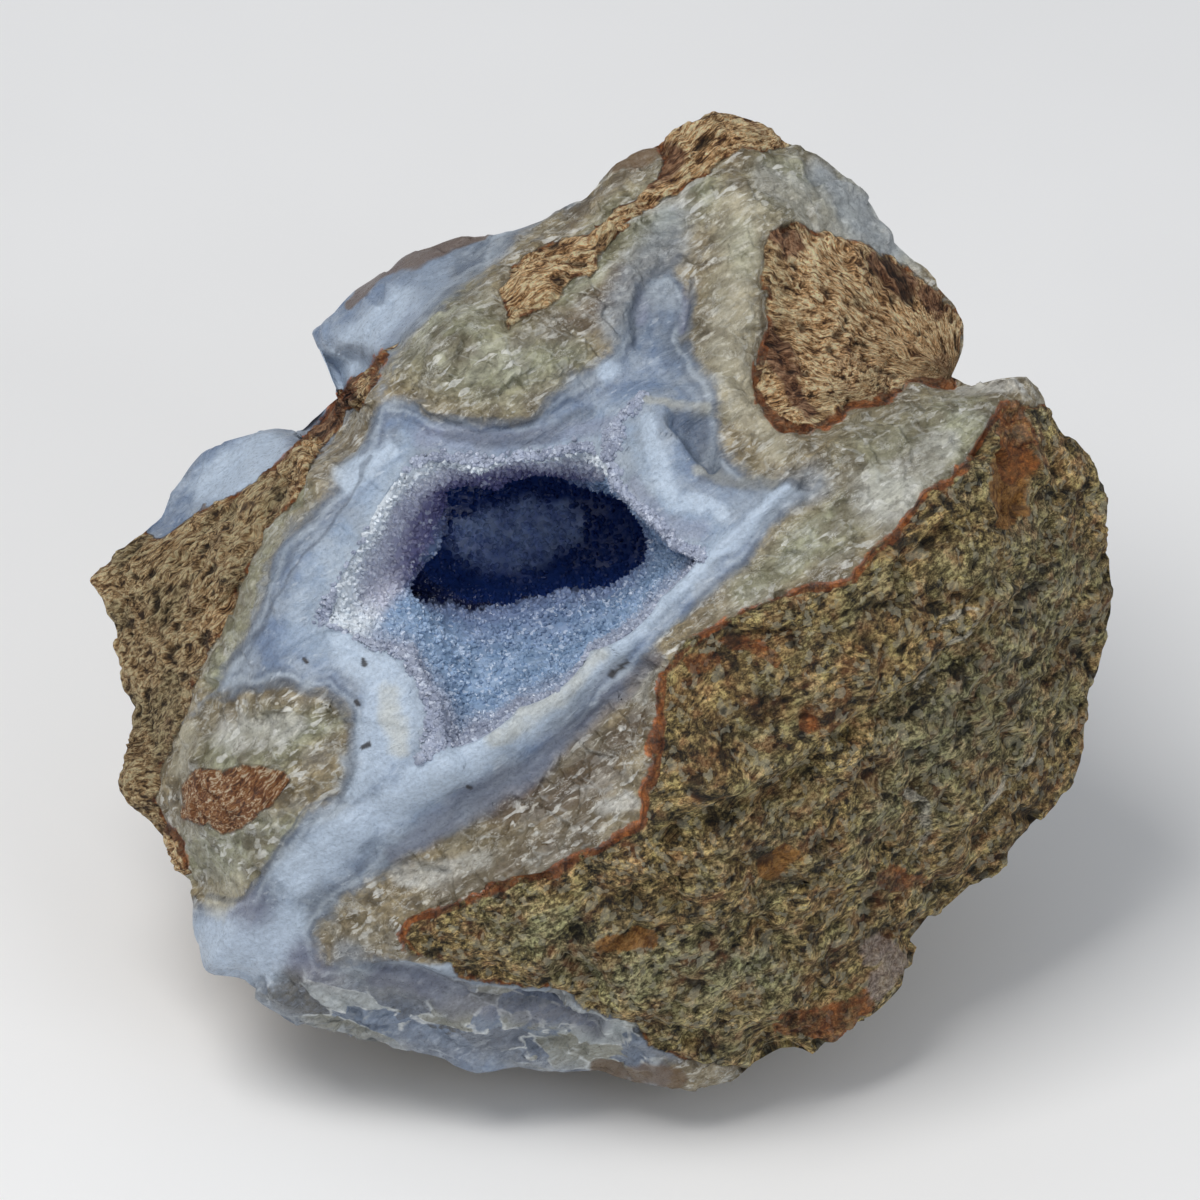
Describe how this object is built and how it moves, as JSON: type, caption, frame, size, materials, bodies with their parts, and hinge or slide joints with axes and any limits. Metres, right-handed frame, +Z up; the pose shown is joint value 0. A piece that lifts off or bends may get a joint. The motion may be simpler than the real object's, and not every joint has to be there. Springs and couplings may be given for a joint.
{
  "type": "blue lace agate geode",
  "caption": "Broken lump of volcanic rock with a blue lace agate vein round a hollow lined by fine blue quartz crystals; lies on a flat spot.",
  "frame": {"origin": "middle of the flat spot on the underside that the stone rests on", "axes": "+Z up; the broken face with the hollow looks towards -Y and upwards; +X to the right as seen from the front, along the longest extent"},
  "size_m": [0.1224, 0.0915, 0.093],
  "materials": {
    "rock_and_agate": "broken rock and satin agate",
    "druzy_quartz": "fine glassy crystals"
  },
  "bodies": {
    "root": {"geode_stone": "rock_and_agate", "druzy_crust": "druzy_quartz"}
  },
  "joints": []
}
